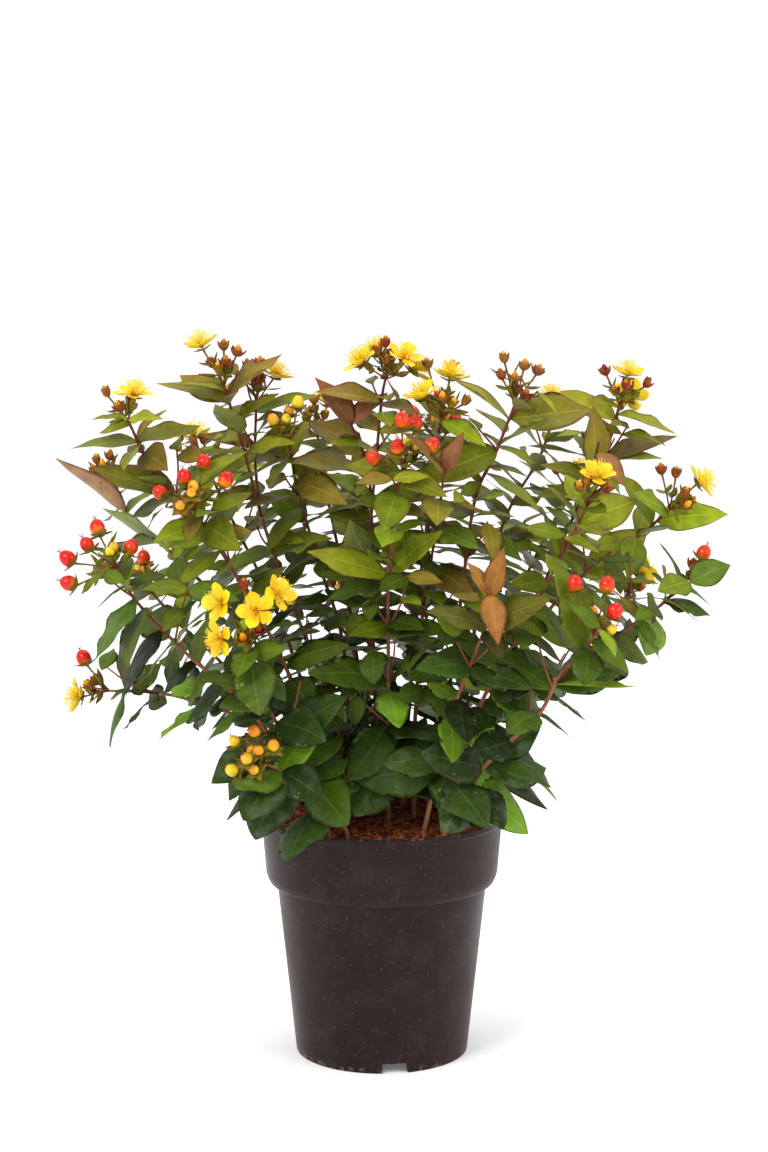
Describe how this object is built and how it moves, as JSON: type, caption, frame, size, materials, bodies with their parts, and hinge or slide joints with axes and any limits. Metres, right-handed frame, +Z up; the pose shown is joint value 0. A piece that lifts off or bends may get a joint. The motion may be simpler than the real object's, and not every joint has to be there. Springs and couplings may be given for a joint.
{
  "type": "potted hypericum plant",
  "caption": "Bushy hypericum plant with opposite pointed leaves, cupped yellow flowers and red and amber berries, growing in soil in a round tapering nursery pot.",
  "frame": {"origin": "on the floor under the middle of the whole plant, which is also the pot's axis", "axes": "+Z up along the pot's axis, -Y towards the front that the picture shows, +X to the right as seen from the front"},
  "size_m": [0.5194, 0.3527, 0.5608],
  "materials": {
    "pot_plastic": "satin moulded charcoal plastic with dust in its scuffs",
    "coir_soil": null,
    "leaves": null,
    "young_leaves": null,
    "petals": null,
    "red_berries": null,
    "amber_berries": null
  },
  "bodies": {
    "root": {"berries_back_low_left": "red_berries", "berries_back_tall": "red_berries", "berries_centre": "red_berries", "berries_left_berries": "red_berries", "berries_low_left_berries": "amber_berries", "berries_outer_left_berries": "red_berries", "berries_right_berries": "red_berries", "berries_yellow_berries": "amber_berries", "flower_back_left_1": "petals", "flower_back_low_middle_1": "petals", "flower_back_low_right_1": "petals", "flower_back_middle_1": "petals", "flower_back_right_1": "petals", "flower_far_right_1": "petals", "flower_left_flowers_1": "petals", "flower_left_flowers_2": "petals", "flower_left_flowers_3": "petals", "flower_left_flowers_4": "petals", "flower_low_left_1": "petals", "flower_middle_flowers_1": "petals", "flower_middle_flowers_2": "petals", "flower_outer_upper_left_1": "petals", "flower_right_flower_1": "petals", "flower_right_flower_top_1": "petals", "flower_right_flower_top_2": "petals", "flower_tall_middle_1": "petals", "flower_tall_middle_2": "petals", "flower_tall_middle_3": "petals", "flower_tall_middle_4": "petals", "flower_upper_left_1": "petals", "flower_upper_left_side_1": "petals", "flower_upper_right_back_1": "petals", "pot": "pot_plastic", "shoot_back_left": "leaves", "shoot_back_low_left": "leaves", "shoot_back_low_middle": "leaves", "shoot_back_low_right": "leaves", "shoot_back_middle": "leaves", "shoot_back_right": "leaves", "shoot_back_tall": "leaves", "shoot_brown_pair_left": "young_leaves", "shoot_centre": "leaves", "shoot_far_right": "leaves", "shoot_left_berries": "leaves", "shoot_left_fan": "leaves", "shoot_left_flowers": "leaves", "shoot_low_left": "leaves", "shoot_low_left_berries": "leaves", "shoot_low_right": "leaves", "shoot_middle_flowers": "leaves", "shoot_orange_pair": "young_leaves", "shoot_outer_upper_left": "leaves", "shoot_right_flower": "leaves", "shoot_right_flower_top": "leaves", "shoot_tall_middle": "leaves", "shoot_upper_left": "leaves", "shoot_upper_right": "leaves", "shoot_upper_right_back": "leaves", "shoot_yellow_berries": "leaves", "soil": "coir_soil"}
  },
  "joints": []
}
